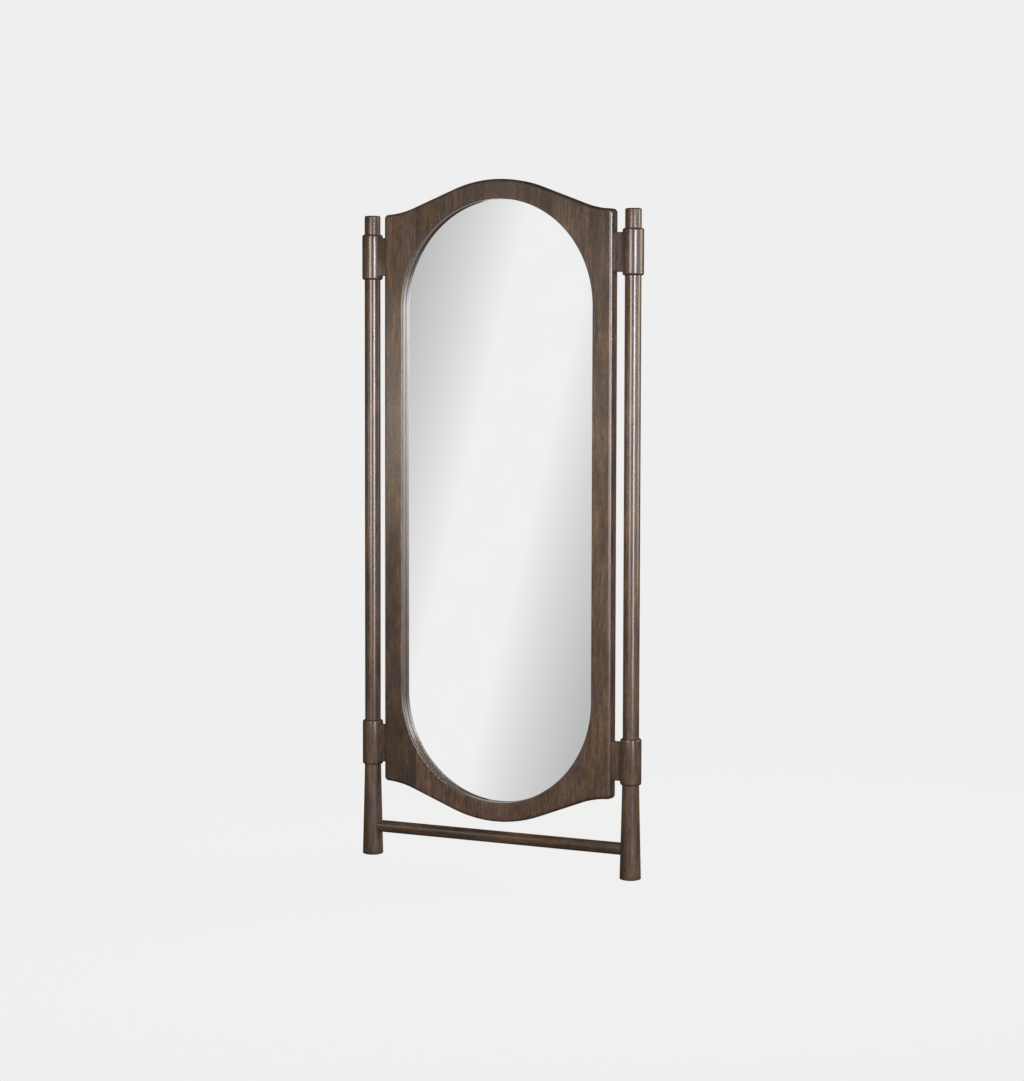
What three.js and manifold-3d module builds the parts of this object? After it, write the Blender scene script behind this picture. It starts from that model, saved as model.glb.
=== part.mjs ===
// Floor mirror: a tall stadium-shaped mirror in a staved wooden panel, which four collars hold
// between two round posts.
// Millimetres. X runs across the mirror, -Y towards the person looking into it, Z up from the floor.
// The origin is on the floor, midway between the two posts.

import * as THREE from "three";
import { mergeVertices } from "three/addons/utils/BufferGeometryUtils.js";
import Module from "manifold-3d";

const wasm = await Module();
wasm.setup();

// ---------------------------------------------------------------- driving dimensions

const GAP = 0.3; // clearance between two pieces that touch
const ROUND_SIDES = 24; // facets round a post, a collar or the stretcher
const HALF_CIRCLE_STEPS = 32; // facets round each end of the opening
const CROWN_STEPS = 6;
const SHOULDER_STEPS = 5;
const CORNER_STEPS = 5;
const ROUND_STEPS = 3; // facets across a rounded edge
const SMALL_ROUND_STEPS = 2; // and across a small one

// Posts, each turned from one length of wood: a plain shaft above, a flared leg below.
const POST_X = 412.7;
const POST_HEIGHT = 1829;
const POST_RADIUS = 22.5;
const LEG_TOP_RADIUS = 23.3;
const FOOT_RADIUS = 29.5;
const LEG_TOP_Z = 261; // a small shoulder here carries the lower collar
const LEG_FLARE_POWER = 1.1;
const LEG_STEPS = 6;
const POST_TOP_ROUND = 4;
const FOOT_ROUND = 3;

// Felt pad let into the foot of each post.
const PAD_RADIUS = 22;
const PAD_THICKNESS = 3;
const PAD_PROUD = 1.5;

// Collars round the posts, and the blocks that hold the panel off them.
const COLLAR_RADIUS = 29.25;
const COLLAR_BORE_RADIUS = POST_RADIUS + GAP;
const COLLAR_HEIGHT = 128;
const COLLAR_END_ROUND = 6;
const COLLAR_LEVELS = { upper: 1712, lower: LEG_TOP_Z + GAP + COLLAR_HEIGHT / 2 };
const BLOCK_HEIGHT = 107;
const BLOCK_THICKNESS = 19;
const BLOCK_CORNER_ROUND = 2;

// Stretcher: a round rail let into sockets in both legs.
const STRETCHER_RADIUS = 17;
const STRETCHER_Z = 83;
const STRETCHER_HALF_LENGTH = POST_X - 12; // it stops short of the posts' axes

// Panel: its outline is an ogee at the top and the same ogee turned over at the bottom.
const PANEL_HALF_WIDTH = 361.3;
const PANEL_THICKNESS = 38;
const PANEL_Y = -4.8; // mid-plane of the panel
const PANEL_TOP = 1920;
const PANEL_BOTTOM = 129;
const PANEL_MIDDLE = (PANEL_TOP + PANEL_BOTTOM) / 2;
const CROWN_RADIUS = 390;
const OGEE_ANGLE = THREE.MathUtils.degToRad(20.4);
const SHOULDER_RADIUS = 269.3;
const CORNER_RADIUS = 12;
const EDGE_ROUND = 9.5; // front and back, so a flat as wide as a block is left on each side

// Opening: a stadium, two half circles joined by straight sides.
const OPENING_RADIUS = 300;
const OPENING_ARC_RISE = 541; // from the panel's middle to the centre of each half circle
const OPENING_ROUND = 5;
const LIP_DEPTH = 19; // from the front face back to the glass
const GLASS_THICKNESS = 5;
const GLASS_REBATE = 10;
const BOARD_REBATE = 25;
const BOARD_THICKNESS = 6;
const REBATE_CLEARANCE = 1; // between the glass or the back board and the wall of its rebate

// Glue seams between the vertical-grain boards, from left to right. The first and last are the
// stiles' inner edges.
const TOP_SEAMS = [-255, -159, -55, 76, 182, 290];
const BOTTOM_SEAMS = [-255, -201, -49, 47, 157, 290];

// Fasteners: head radius, head depth, shank radius and length under the head's face.
const BLOCK_SCREW = { head: 4.5, headDepth: 3, shank: 2.5, length: 58 };
const BLOCK_SCREW_RISE = 30; // above and below the middle of a collar
const BLOCK_SCREW_FACE_X = 389.5;
const COLLAR_SCREW = { head: 4, headDepth: 2.6, shank: 2, length: 25 };
const COLLAR_SCREW_FACE_Y = 28.8;
const BOARD_SCREW = { head: 3.5, headDepth: 2.2, shank: 1.75, length: 16 };
const BOARD_SCREW_SPREAD = THREE.MathUtils.degToRad(38); // on the half circles, from the centre line
const SCREW_SIDES = 8;
const DRIVE_SOCKET = { radius: 1.2, depth: 1.4 };
const DOWEL_RADIUS = 4;
const DOWEL_LENGTH = 40;
const DOWEL_CHAMFER = 1;

// ---------------------------------------------------------------- derived planes

const PANEL_FRONT_Y = PANEL_Y - PANEL_THICKNESS / 2;
const GLASS_FRONT_Y = PANEL_FRONT_Y + LIP_DEPTH;
const BOARD_FRONT_Y = GLASS_FRONT_Y + GLASS_THICKNESS + GAP;
const PANEL_BACK_Y = PANEL_Y + PANEL_THICKNESS / 2;
const CLEAR = 20; // how far a cutter runs past the piece it cuts

// ---------------------------------------------------------------- materials

function finish(color, roughness, metalness = 0) {
  return () => new THREE.MeshStandardMaterial({ color, roughness, metalness });
}

const wood = finish(0x4a2c1e, 0.45);
const silvered = finish(0xd8dcdd, 0.03, 1);
const fibreboard = finish(0x3a2a20, 0.8);
const zincSteel = finish(0xb9b7ae, 0.35, 1);
const beech = finish(0xc9a878, 0.7);
const felt = finish(0x2d2420, 1);

// ---------------------------------------------------------------- solids

function toSolid(geometry) {
  const bare = geometry.clone();
  bare.deleteAttribute("normal");
  bare.deleteAttribute("uv");
  const merged = mergeVertices(bare, 1e-4);
  const mesh = new wasm.Mesh({
    numProp: 3,
    vertProperties: merged.attributes.position.array,
    triVerts: new Uint32Array(merged.index.array),
  });
  return new wasm.Manifold(mesh);
}

function toGeometry(solid) {
  const mesh = solid.getMesh();
  const geometry = new THREE.BufferGeometry();
  geometry.setAttribute("position", new THREE.BufferAttribute(mesh.vertProperties, 3));
  geometry.setIndex(new THREE.BufferAttribute(mesh.triVerts, 1));
  const flat = geometry.toNonIndexed();
  flat.computeVertexNormals();
  return flat;
}

function cut(solid, cutters) {
  return cutters.reduce((rest, cutter) => rest.subtract(cutter), solid);
}

// Points of an arc from one angle to another, both ends included.
function arc(centreX, centreY, radius, from, to, steps) {
  return Array.from({ length: steps + 1 }, (_, i) => {
    const angle = from + ((to - from) * i) / steps;
    return new THREE.Vector2(centreX + radius * Math.cos(angle), centreY + radius * Math.sin(angle));
  });
}

// A turned piece standing on Z, from a profile of (radius, height) points that climbs its outside.
function turned(profile, sides) {
  const points = profile.map(([radius, height]) => new THREE.Vector2(radius, height));
  return new THREE.LatheGeometry(points, sides).rotateX(Math.PI / 2);
}

// A bar along X from one end to the other.
function barAlongX(radius, fromX, toX, y, z, sides) {
  const length = toX - fromX;
  const bar = new THREE.CylinderGeometry(radius, radius, length, sides).rotateZ(Math.PI / 2);
  return bar.translate(fromX + length / 2, y, z);
}

// A plate standing in the XZ plane between two depths, with both its faces' edges rounded by one radius.
function plate(shape, frontY, backY, round, roundSteps) {
  const geometry = new THREE.ExtrudeGeometry(shape, {
    depth: backY - frontY - 2 * round,
    bevelEnabled: round > 0,
    bevelThickness: round,
    bevelSize: round,
    bevelOffset: -round,
    bevelSegments: roundSteps,
    curveSegments: 1,
  });
  return geometry.translate(0, 0, round - backY).rotateX(Math.PI / 2);
}

function boxBetween(low, high) {
  const size = high.map((value, i) => value - low[i]);
  const middle = high.map((value, i) => (value + low[i]) / 2);
  return new THREE.BoxGeometry(...size).translate(...middle);
}

// ---------------------------------------------------------------- outlines

const mirrorX = (p) => new THREE.Vector2(-p.x, p.y);
const mirrorZ = (p) => new THREE.Vector2(p.x, 2 * PANEL_MIDDLE - p.y);

// One quarter of the panel's outline, from the crown's middle to the top of the straight right side.
function ogeeQuarter() {
  const crown = arc(
    0, PANEL_TOP - CROWN_RADIUS, CROWN_RADIUS, Math.PI / 2, Math.PI / 2 - OGEE_ANGLE, CROWN_STEPS,
  );
  const start = crown.at(-1);
  const straight = PANEL_HALF_WIDTH - SHOULDER_RADIUS * Math.sin(OGEE_ANGLE) - start.x;
  const endZ = start.y - straight * Math.tan(OGEE_ANGLE);
  const hollowZ = endZ + SHOULDER_RADIUS * Math.cos(OGEE_ANGLE);
  const reach = SHOULDER_RADIUS + CORNER_RADIUS;
  const cornerZ = hollowZ - Math.sqrt(reach ** 2 - CORNER_RADIUS ** 2);
  const meet = Math.atan2(hollowZ - cornerZ, CORNER_RADIUS);
  const hollow = arc(
    PANEL_HALF_WIDTH, hollowZ, SHOULDER_RADIUS, 1.5 * Math.PI - OGEE_ANGLE, Math.PI + meet, SHOULDER_STEPS,
  );
  const corner = arc(PANEL_HALF_WIDTH - CORNER_RADIUS, cornerZ, CORNER_RADIUS, meet, 0, CORNER_STEPS);
  return [...crown, ...hollow, ...corner.slice(1)];
}

function panelOutline() {
  const quarter = ogeeQuarter();
  const right = [...quarter, ...quarter.map(mirrorZ).reverse()];
  const left = right.slice(1, -1).map(mirrorX).reverse();
  return new THREE.Shape([...right, ...left]);
}

function stadium(radius) {
  const top = arc(0, PANEL_MIDDLE + OPENING_ARC_RISE, radius, 0, Math.PI, HALF_CIRCLE_STEPS);
  const bottom = arc(0, PANEL_MIDDLE - OPENING_ARC_RISE, radius, Math.PI, 2 * Math.PI, HALF_CIRCLE_STEPS);
  return [...top, ...bottom];
}

// Height of the outline's top edge above the panel's middle, at a distance X from the centre line.
function ogeeRise(x) {
  const quarter = ogeeQuarter();
  const after = quarter.findIndex((p) => p.x >= Math.abs(x));
  const a = quarter[after - 1];
  const b = quarter[after];
  return a.y + ((b.y - a.y) * (Math.abs(x) - a.x)) / (b.x - a.x) - PANEL_MIDDLE;
}

// ---------------------------------------------------------------- fasteners

// A countersunk screw standing on Z with its head's face at Z = 0 and its point below.
function screwGeometry({ head, headDepth, shank, length }) {
  const { radius, depth } = DRIVE_SOCKET;
  const profile = [
    [0, -length], [shank, -length + 2 * shank], [shank, -headDepth], [head, 0],
    [radius, 0], [radius, -depth], [0, -depth],
  ];
  return turned(profile, SCREW_SIDES);
}

// The hole that a screw needs, open well above its head.
function screwHole({ head, headDepth, shank, length }) {
  const profile = [
    [0, -length - GAP], [shank + GAP, -length + 2 * shank - GAP], [shank + GAP, -headDepth - GAP],
    [head + GAP, -GAP / 2], [head + GAP, CLEAR / 2], [0, CLEAR / 2],
  ];
  return turned(profile, SCREW_SIDES);
}

// Turns a piece that stands on Z so that its top faces a direction, and moves it to a place.
function placement(position, facing) {
  const up = new THREE.Vector3(0, 0, 1);
  const turn = new THREE.Quaternion().setFromUnitVectors(up, new THREE.Vector3(...facing));
  return new THREE.Matrix4().compose(new THREE.Vector3(...position), turn, new THREE.Vector3(1, 1, 1));
}

function holeSolid(screw) {
  return toSolid(screwHole(screw.size).applyMatrix4(placement(screw.position, screw.facing)));
}

const SIDES = { left: -1, right: 1 };

// Two screws run from inside each collar's bore, through its block, into the panel's stile.
function blockScrews() {
  return Object.entries(COLLAR_LEVELS).flatMap(([level, z]) =>
    Object.entries(SIDES).flatMap(([side, sign]) =>
      [1, -1].map((rise, i) => ({
        name: `${level}_${side}_block_screw_${i + 1}`,
        level,
        side,
        size: BLOCK_SCREW,
        position: [sign * BLOCK_SCREW_FACE_X, PANEL_Y, z + rise * BLOCK_SCREW_RISE],
        facing: [sign, 0, 0],
      })),
    ),
  );
}

// One screw runs from the back of each collar into its post and stops it turning or sliding.
function collarScrews() {
  return Object.entries(COLLAR_LEVELS).flatMap(([level, z]) =>
    Object.entries(SIDES).map(([side, sign]) => ({
      name: `${level}_${side}_collar_screw`,
      level,
      side,
      size: COLLAR_SCREW,
      position: [sign * POST_X, COLLAR_SCREW_FACE_Y, z],
      facing: [0, 1, 0],
    })),
  );
}

// Screws round the back board's edge: two on each long side, two on each half circle.
function boardScrews() {
  const ring = OPENING_RADIUS + (GLASS_REBATE + BOARD_REBATE) / 2;
  const quarter = [
    [ring, OPENING_ARC_RISE / 2],
    [ring * Math.sin(BOARD_SCREW_SPREAD), OPENING_ARC_RISE + ring * Math.cos(BOARD_SCREW_SPREAD)],
  ];
  const places = [[1, 1], [-1, 1], [-1, -1], [1, -1]].flatMap(([signX, signZ]) =>
    quarter.map(([x, z]) => [signX * x, PANEL_MIDDLE + signZ * z]),
  );
  return places.map(([x, z], i) => ({
    name: `back_board_screw_${i + 1}`,
    size: BOARD_SCREW,
    position: [x, BOARD_FRONT_Y + BOARD_THICKNESS, z],
    facing: [0, 1, 0],
  }));
}

// One dowel across each glue seam, midway between the back board's rebate and the outline.
function seamDowels() {
  const rebate = OPENING_RADIUS + BOARD_REBATE;
  const along = (seams, row, sign) =>
    seams.map((x, i) => {
      const inner = OPENING_ARC_RISE + Math.sqrt(rebate ** 2 - x ** 2);
      const z = PANEL_MIDDLE + (sign * (inner + ogeeRise(x))) / 2;
      return { name: `${row}_dowel_${i + 1}`, position: [x, PANEL_Y, z] };
    });
  return [...along(TOP_SEAMS, "top", 1), ...along(BOTTOM_SEAMS, "bottom", -1)];
}

function dowelGeometry() {
  const half = DOWEL_LENGTH / 2;
  const waist = DOWEL_RADIUS - DOWEL_CHAMFER;
  const profile = [
    [0, -half], [waist, -half], [DOWEL_RADIUS, DOWEL_CHAMFER - half],
    [DOWEL_RADIUS, half - DOWEL_CHAMFER], [waist, half], [0, half],
  ];
  return turned(profile, SCREW_SIDES).rotateY(Math.PI / 2);
}

function dowelHole([x, y, z]) {
  const reach = DOWEL_LENGTH / 2 + GAP;
  return toSolid(barAlongX(DOWEL_RADIUS + GAP, x - reach, x + reach, y, z, SCREW_SIDES));
}

// ---------------------------------------------------------------- stand

function postGeometry() {
  const foot = PAD_PROUD;
  const legRadius = (z) =>
    LEG_TOP_RADIUS + (FOOT_RADIUS - LEG_TOP_RADIUS) * (1 - z / LEG_TOP_Z) ** LEG_FLARE_POWER;
  const footEdge = foot + FOOT_ROUND;
  const leg = Array.from({ length: LEG_STEPS + 1 }, (_, i) => {
    const z = footEdge + ((LEG_TOP_Z - footEdge) * i) / LEG_STEPS;
    return [legRadius(z), z];
  });
  const footRound = arc(
    legRadius(footEdge) - FOOT_ROUND, footEdge, FOOT_ROUND, -Math.PI / 2, 0, ROUND_STEPS,
  );
  const topRound = arc(
    POST_RADIUS - POST_TOP_ROUND, POST_HEIGHT - POST_TOP_ROUND, POST_TOP_ROUND, 0, Math.PI / 2, ROUND_STEPS,
  );
  const profile = [
    [0, PAD_THICKNESS + GAP],
    [PAD_RADIUS + GAP, PAD_THICKNESS + GAP],
    [PAD_RADIUS + GAP, foot],
    ...footRound.slice(0, -1).map((p) => [p.x, p.y]),
    ...leg,
    [POST_RADIUS, LEG_TOP_Z],
    ...topRound.map((p) => [p.x, p.y]),
    [0, POST_HEIGHT],
  ];
  return turned(profile, ROUND_SIDES);
}

function postSolid(side, screws) {
  const sign = SIDES[side];
  const blank = toSolid(postGeometry().translate(sign * POST_X, 0, 0));
  const inner = sign * (POST_X - 2 * FOOT_RADIUS);
  const end = sign * (STRETCHER_HALF_LENGTH + GAP);
  const [from, to] = [Math.min(inner, end), Math.max(inner, end)];
  const socket = barAlongX(STRETCHER_RADIUS + GAP, from, to, 0, STRETCHER_Z, ROUND_SIDES);
  const holes = screws.filter((screw) => screw.side === side).map(holeSolid);
  return cut(blank, [toSolid(socket), ...holes]);
}

function collarSolid(level, side, screws) {
  const half = COLLAR_HEIGHT / 2;
  const edge = COLLAR_RADIUS - COLLAR_END_ROUND;
  const lower = arc(edge, COLLAR_END_ROUND - half, COLLAR_END_ROUND, -Math.PI / 2, 0, ROUND_STEPS);
  const upper = arc(edge, half - COLLAR_END_ROUND, COLLAR_END_ROUND, 0, Math.PI / 2, ROUND_STEPS);
  const outside = [...lower, ...upper].map((p) => [p.x, p.y]);
  const bore = COLLAR_BORE_RADIUS;
  const profile = [[bore, -half], ...outside, [bore, half], [bore, -half]];
  const blank = turned(profile, ROUND_SIDES).translate(SIDES[side] * POST_X, 0, COLLAR_LEVELS[level]);
  const holes = screws.filter((screw) => screw.side === side && screw.level === level).map(holeSolid);
  return cut(toSolid(blank), holes);
}

function blockSolid(level, side, screws) {
  const sign = SIDES[side];
  const halfY = BLOCK_THICKNESS / 2;
  const halfZ = BLOCK_HEIGHT / 2;
  const r = BLOCK_CORNER_ROUND;
  const section = new THREE.Shape([
    ...arc(halfY - r, halfZ - r, r, 0, Math.PI / 2, SMALL_ROUND_STEPS),
    ...arc(r - halfY, halfZ - r, r, Math.PI / 2, Math.PI, SMALL_ROUND_STEPS),
    ...arc(r - halfY, r - halfZ, r, Math.PI, 1.5 * Math.PI, SMALL_ROUND_STEPS),
    ...arc(halfY - r, r - halfZ, r, 1.5 * Math.PI, 2 * Math.PI, SMALL_ROUND_STEPS),
  ]);
  const nearX = PANEL_HALF_WIDTH + GAP;
  const bar = new THREE.ExtrudeGeometry(section, { depth: POST_X - nearX, bevelEnabled: false });
  const alongX = new THREE.Matrix4().makeBasis(
    new THREE.Vector3(0, 1, 0), new THREE.Vector3(0, 0, 1), new THREE.Vector3(1, 0, 0),
  );
  bar.applyMatrix4(alongX);
  bar.translate(sign > 0 ? nearX : -POST_X, PANEL_Y, COLLAR_LEVELS[level]);
  const cope = new THREE.CylinderGeometry(
    COLLAR_RADIUS + GAP, COLLAR_RADIUS + GAP, COLLAR_HEIGHT + CLEAR, ROUND_SIDES,
  ).rotateX(Math.PI / 2).translate(sign * POST_X, 0, COLLAR_LEVELS[level]);
  const holes = screws.filter((screw) => screw.side === side && screw.level === level).map(holeSolid);
  return cut(toSolid(bar), [toSolid(cope), ...holes]);
}

function stretcherGeometry() {
  const end = STRETCHER_HALF_LENGTH;
  return barAlongX(STRETCHER_RADIUS, -end, end, 0, STRETCHER_Z, ROUND_SIDES);
}

// ---------------------------------------------------------------- panel

function panelBlank() {
  const outline = panelOutline();
  const rounded = plate(outline, PANEL_FRONT_Y, PANEL_BACK_Y, EDGE_ROUND, ROUND_STEPS);
  const wide = PANEL_HALF_WIDTH + CLEAR;
  const surround = new THREE.Shape([
    new THREE.Vector2(-wide, PANEL_BOTTOM - CLEAR), new THREE.Vector2(wide, PANEL_BOTTOM - CLEAR),
    new THREE.Vector2(wide, PANEL_TOP + CLEAR), new THREE.Vector2(-wide, PANEL_TOP + CLEAR),
  ]);
  surround.holes.push(new THREE.Path(stadium(OPENING_RADIUS)));
  const opening = plate(surround, PANEL_FRONT_Y, PANEL_BACK_Y + CLEAR, OPENING_ROUND, SMALL_ROUND_STEPS);
  const rebate = (depth, frontY) =>
    toSolid(plate(new THREE.Shape(stadium(OPENING_RADIUS + depth)), frontY, PANEL_BACK_Y + CLEAR, 0, 0));
  const ring = toSolid(rounded).intersect(toSolid(opening));
  return cut(ring, [rebate(GLASS_REBATE, GLASS_FRONT_Y), rebate(BOARD_REBATE, BOARD_FRONT_Y - GAP)]);
}

// The panel's boards: name, left and right seam, and lowest and highest point of the slice.
function boardSlices() {
  const low = PANEL_BOTTOM - CLEAR;
  const high = PANEL_TOP + CLEAR;
  const edge = PANEL_HALF_WIDTH + CLEAR;
  const row = (seams, name, from, to) =>
    seams.slice(1).map((right, i) => {
      return { name: `${name}_stave_${i + 1}`, left: seams[i], right, low: from, high: to };
    });
  return [
    { name: "left_stile", left: -edge, right: TOP_SEAMS[0], low, high },
    ...row(TOP_SEAMS, "top", PANEL_MIDDLE, high),
    { name: "right_stile", left: TOP_SEAMS.at(-1), right: edge, low, high },
    ...row(BOTTOM_SEAMS, "bottom", low, PANEL_MIDDLE),
  ];
}

function boardSolid(blank, slice, holes) {
  const slab = boxBetween(
    [slice.left + GAP / 2, PANEL_FRONT_Y - CLEAR, slice.low],
    [slice.right - GAP / 2, PANEL_BACK_Y + CLEAR, slice.high],
  );
  return cut(blank.intersect(toSolid(slab)), holes);
}

function glassGeometry() {
  const shape = new THREE.Shape(stadium(OPENING_RADIUS + GLASS_REBATE - REBATE_CLEARANCE));
  return plate(shape, GLASS_FRONT_Y + GAP, GLASS_FRONT_Y + GLASS_THICKNESS, 0, 0);
}

function backBoardSolid(screws) {
  const shape = new THREE.Shape(stadium(OPENING_RADIUS + BOARD_REBATE - REBATE_CLEARANCE));
  const board = plate(shape, BOARD_FRONT_Y, BOARD_FRONT_Y + BOARD_THICKNESS, 0, 0);
  return cut(toSolid(board), screws.map(holeSolid));
}

// ---------------------------------------------------------------- assembly

function add(group, name, geometry, material) {
  const mesh = new THREE.Mesh(geometry, material());
  mesh.name = name;
  group.add(mesh);
  return mesh;
}

function addScrew(group, screw) {
  const mesh = add(group, screw.name, screwGeometry(screw.size), zincSteel);
  mesh.applyMatrix4(placement(screw.position, screw.facing));
}

function makeStand() {
  const stand = new THREE.Group();
  const toStile = blockScrews();
  const toPost = collarScrews();
  for (const side of Object.keys(SIDES)) {
    add(stand, `${side}_post`, toGeometry(postSolid(side, toPost)), wood);
    const pad = new THREE.CylinderGeometry(PAD_RADIUS, PAD_RADIUS, PAD_THICKNESS, ROUND_SIDES);
    pad.rotateX(Math.PI / 2).translate(SIDES[side] * POST_X, 0, PAD_THICKNESS / 2);
    add(stand, `${side}_foot_pad`, pad, felt);
    for (const level of Object.keys(COLLAR_LEVELS)) {
      const collar = collarSolid(level, side, [...toStile, ...toPost]);
      add(stand, `${level}_${side}_collar`, toGeometry(collar), wood);
      add(stand, `${level}_${side}_block`, toGeometry(blockSolid(level, side, toStile)), wood);
    }
  }
  add(stand, "stretcher", stretcherGeometry(), wood);
  [...toStile, ...toPost].forEach((screw) => addScrew(stand, screw));
  return stand;
}

function makePanel() {
  const panel = new THREE.Group();
  const backScrews = boardScrews();
  const dowels = seamDowels();
  const screwHoles = [...blockScrews(), ...backScrews].map(holeSolid);
  const holes = [...screwHoles, ...dowels.map((dowel) => dowelHole(dowel.position))];
  const blank = panelBlank();
  for (const slice of boardSlices()) {
    add(panel, slice.name, toGeometry(boardSolid(blank, slice, holes)), wood);
  }
  add(panel, "mirror_glass", glassGeometry(), silvered);
  add(panel, "back_board", toGeometry(backBoardSolid(backScrews)), fibreboard);
  backScrews.forEach((screw) => addScrew(panel, screw));
  for (const dowel of dowels) {
    add(panel, dowel.name, dowelGeometry(), beech).position.set(...dowel.position);
  }
  return panel;
}

const floorMirror = new THREE.Group();
floorMirror.add(makeStand(), makePanel());

export default floorMirror;
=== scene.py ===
"""A tall floor mirror in dark stained wood: the looks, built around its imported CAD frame.

Metres, +Z up, -Y towards the person looking into the mirror. Heights marked "rise" are measured
from the panel's middle, because its outline and its opening are the same above and below it.
"""
import math

import bmesh
import bpy
from mathutils import Matrix, Vector


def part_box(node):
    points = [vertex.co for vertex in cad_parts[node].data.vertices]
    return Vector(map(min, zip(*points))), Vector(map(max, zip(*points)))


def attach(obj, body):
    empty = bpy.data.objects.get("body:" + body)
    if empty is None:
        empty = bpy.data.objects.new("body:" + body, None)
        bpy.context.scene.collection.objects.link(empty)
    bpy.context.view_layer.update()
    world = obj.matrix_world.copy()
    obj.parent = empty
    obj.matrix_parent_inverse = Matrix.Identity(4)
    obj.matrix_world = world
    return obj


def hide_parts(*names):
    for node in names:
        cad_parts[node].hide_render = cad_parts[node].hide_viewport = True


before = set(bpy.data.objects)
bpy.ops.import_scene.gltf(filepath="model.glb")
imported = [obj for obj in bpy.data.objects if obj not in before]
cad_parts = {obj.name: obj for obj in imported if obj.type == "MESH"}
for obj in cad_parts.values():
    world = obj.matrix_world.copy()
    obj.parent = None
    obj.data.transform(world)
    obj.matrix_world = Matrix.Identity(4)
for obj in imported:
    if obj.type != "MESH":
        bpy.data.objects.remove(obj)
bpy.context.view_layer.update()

BODY = "root"
SIDES = {"left": -1, "right": 1}
LEVELS = ("upper", "lower")
UP = Vector((0, 0, 1))

# ------------------------------------------------------------------ sizes

# Stand.
POST_RADIUS = 0.0225
POST_TOP_ROUND = 0.004
LEG_TOP_RADIUS = 0.0233
FOOT_RADIUS = 0.0295
FOOT_ROUND = 0.003
LEG_FLARE_POWER = 1.1
LEG_STEPS = 24
LEG_SHOULDER = 0.0002  # how far the leg's top slopes in to the shaft
COLLAR_BORE_GAP = 0.0001
COLLAR_ROUND = 0.006
COLLAR_LIP_ROUND = 0.0008
BLOCK_CORNER_ROUND = 0.002
STRETCHER_CHAMFER = 0.001
STRETCHER_STEPS = 24
PAD_EASE = 0.0006
FIT_GAP = 0.0003  # between two pieces that touch
TURNED_SIDES = 96

# Panel.
CROWN_RADIUS = 0.390
OGEE_ANGLE = math.radians(20.4)
SHOULDER_RADIUS = 0.2693
CORNER_RADIUS = 0.012
CORNER_STEPS = 10
EDGE_ROUND = 0.0095
OPENING_ROUND = 0.005
OPENING_STEPS = 60  # a radian
ROUND_STEPS = 8
REBATE_EDGE = 0.001
SEAM_GAP = 0.0001
CURVE_STEP = 0.005
SIDE_STEP = 0.08
CLIP = 0.005  # no vertex of an edge lies nearer than this to a seam
WELD = 1e-6  # vertices nearer than this are one
CREASE_ANGLE = math.radians(38)

# Glass and back board.
REBATE_CLEARANCE = 0.001
GLASS_LEDGE = 0.010
GLASS_EASE = 0.0004
BOARD_EASE = 0.0005
HALF_CIRCLE_STEPS = 90
SILVER_DEPTH = 0.0013

# Screws, where a share is of the head's radius.
SCREW_SIDES = 32
SCREW_HEAD_DEPTH_SHARE = 0.65
SCREW_SHANK_SHARE = 0.45
SCREW_POINT_SHARE = 0.2  # of the shank's radius
SCREW_DRIVE_SHARE = 0.62
SCREW_HOLE_GAP = 0.0002
SCREW_DRIVE_WIDTH = 0.0009
SCREW_DRIVE_DEPTH = 0.0012
SCREW_CROWN = 0.0004

# ------------------------------------------------------------------ places, from the frame


def middle(node):
    low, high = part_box(node)
    return (low + high) / 2


def span(node, axis):
    """Lowest and highest value of a CAD node along one axis, 0 to 2."""
    low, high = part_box(node)
    return low[axis], high[axis]


FRONT_Y, BACK_Y = span("left_stile", 1)
PANEL_DEPTH = BACK_Y - FRONT_Y
PANEL_TOP = max(span(node, 2)[1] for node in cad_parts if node.startswith("top_stave"))
PANEL_BOTTOM = min(span(node, 2)[0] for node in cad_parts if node.startswith("bottom_stave"))
MIDDLE_Z = (PANEL_TOP + PANEL_BOTTOM) / 2
CROWN_RISE = PANEL_TOP - MIDDLE_Z
HALF_WIDTH = span("right_stile", 0)[1]
GLASS_HALF_WIDTH = span("mirror_glass", 0)[1]
BOARD_HALF_WIDTH = span("back_board", 0)[1]
ARC_RISE = span("mirror_glass", 2)[1] - MIDDLE_Z - GLASS_HALF_WIDTH
OPENING_RADIUS = GLASS_HALF_WIDTH + REBATE_CLEARANCE - GLASS_LEDGE
BOARD_LEDGE = BOARD_HALF_WIDTH + REBATE_CLEARANCE - OPENING_RADIUS
LIP_DEPTH = span("mirror_glass", 1)[0] - FIT_GAP - FRONT_Y
BOARD_SEAT_DEPTH = span("back_board", 1)[0] - FIT_GAP - FRONT_Y

# ------------------------------------------------------------------ mesh helpers


def make_object(name, verts, faces):
    """A mesh object with merged corners, outward faces, smooth sides and flat caps."""
    mesh = bpy.data.meshes.new(name)
    mesh.from_pydata([tuple(v) for v in verts], [], faces)
    bm = bmesh.new()
    bm.from_mesh(mesh)
    bmesh.ops.remove_doubles(bm, verts=bm.verts, dist=WELD)
    bmesh.ops.recalc_face_normals(bm, faces=bm.faces)
    for face in bm.faces:
        face.smooth = len(face.verts) <= 4
    bm.to_mesh(mesh)
    bm.free()
    obj = bpy.data.objects.new(name, mesh)
    bpy.context.scene.collection.objects.link(obj)
    mark_creases(obj)
    return obj


def mark_creases(obj):
    """Edges sharper than the crease angle keep their crease when the surface is shaded smooth."""
    bm = bmesh.new()
    bm.from_mesh(obj.data)
    for edge in bm.edges:
        edge.smooth = edge.calc_face_angle(0.0) < CREASE_ANGLE
    bm.to_mesh(obj.data)
    bm.free()


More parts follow.
